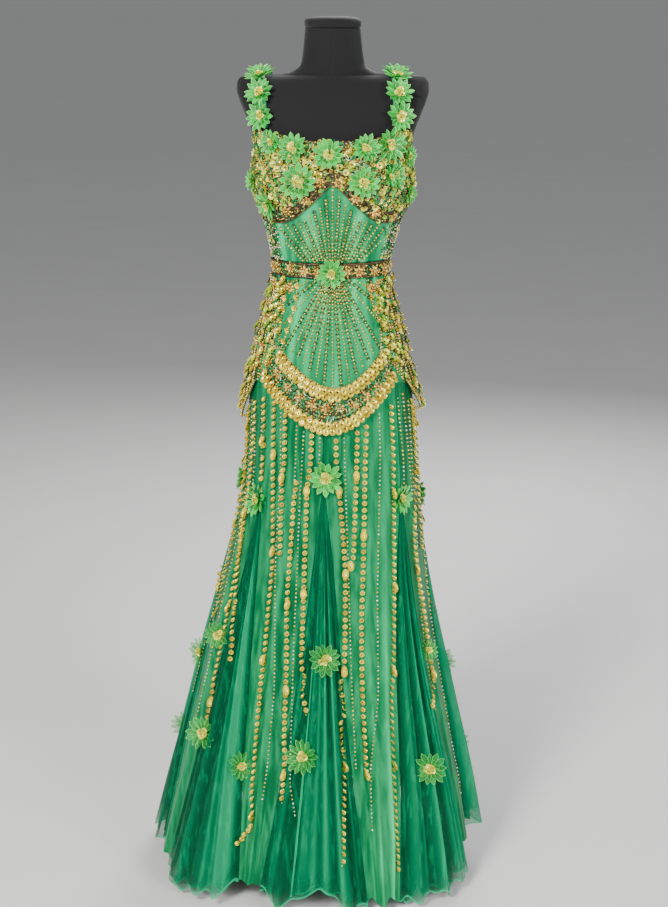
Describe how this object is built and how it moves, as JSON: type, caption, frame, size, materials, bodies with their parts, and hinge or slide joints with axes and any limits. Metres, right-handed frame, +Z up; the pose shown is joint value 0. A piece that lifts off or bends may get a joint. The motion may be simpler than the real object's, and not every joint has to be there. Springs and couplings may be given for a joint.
{
  "type": "beaded evening dress on a dress form",
  "caption": "Floor-length evening dress with flower straps, beaded bust, waistband, sequin crescent at the hips and a flared skirt of satin gores and net godets, on a limbless dress form",
  "frame": {"origin": "centre of the stand's underside, on the floor", "axes": "+Z up, -Y out of the front of the dress, +X to the right as the front is looked at"},
  "size_m": [0.6609, 0.5678, 1.65],
  "materials": {
    "black_jersey": "matt black jersey",
    "black_steel": "satin black paint",
    "emerald_satin": "smooth emerald satin",
    "green_net": "several layers of fine green net",
    "beaded_net": "net sewn all over with green, gold and copper beads",
    "gold_paillettes": "overlapping gold paillettes on net",
    "green_petals": "pleated green petals with pale edges"
  },
  "bodies": {
    "root": {"bodice_back_left": "beaded_net", "bodice_back_right": "beaded_net", "bust_front": "beaded_net", "closing_strip_back": "emerald_satin", "closing_strip_hip": "emerald_satin", "crescent": "gold_paillettes", "flower_belt": "green_petals", "flower_bust_centre": "green_petals", "flower_bust_far_left": "green_petals", "flower_bust_far_right": "green_petals", "flower_bust_left": "green_petals", "flower_bust_right": "green_petals", "flower_cup_left": "green_petals", "flower_cup_right": "green_petals", "flower_cup_side_left": "green_petals", "flower_cup_side_right": "green_petals", "flower_godet_back_left": "green_petals", "flower_godet_back_right": "green_petals", "flower_godet_front": "green_petals", "flower_godet_front_left": "green_petals", "flower_godet_front_right": "green_petals", "flower_godet_side_left": "green_petals", "flower_godet_side_right": "green_petals", "form_neck_cap": "black_jersey", "form_torso": "black_jersey", "godet_back_left": "green_net", "godet_back_right": "green_net", "godet_front": "green_net", "godet_front_left": "green_net", "godet_front_right": "green_net", "godet_side_left": "green_net", "godet_side_right": "green_net", "gore_back": "emerald_satin", "gore_back_left": "emerald_satin", "gore_back_right": "emerald_satin", "gore_front_left": "emerald_satin", "gore_front_right": "emerald_satin", "gore_side_left": "emerald_satin", "gore_side_right": "emerald_satin", "hip_drape_left": "beaded_net", "hip_drape_right": "beaded_net", "midriff_front": "emerald_satin", "midriff_side_left": "beaded_net", "midriff_side_right": "beaded_net", "stand_base": "black_steel", "stand_pole": "black_steel", "strap_left": "green_petals", "strap_right": "green_petals", "waist_belt": "beaded_net", "yoke_back_left": "emerald_satin", "yoke_back_right": "emerald_satin", "yoke_front": "emerald_satin"}
  },
  "joints": []
}
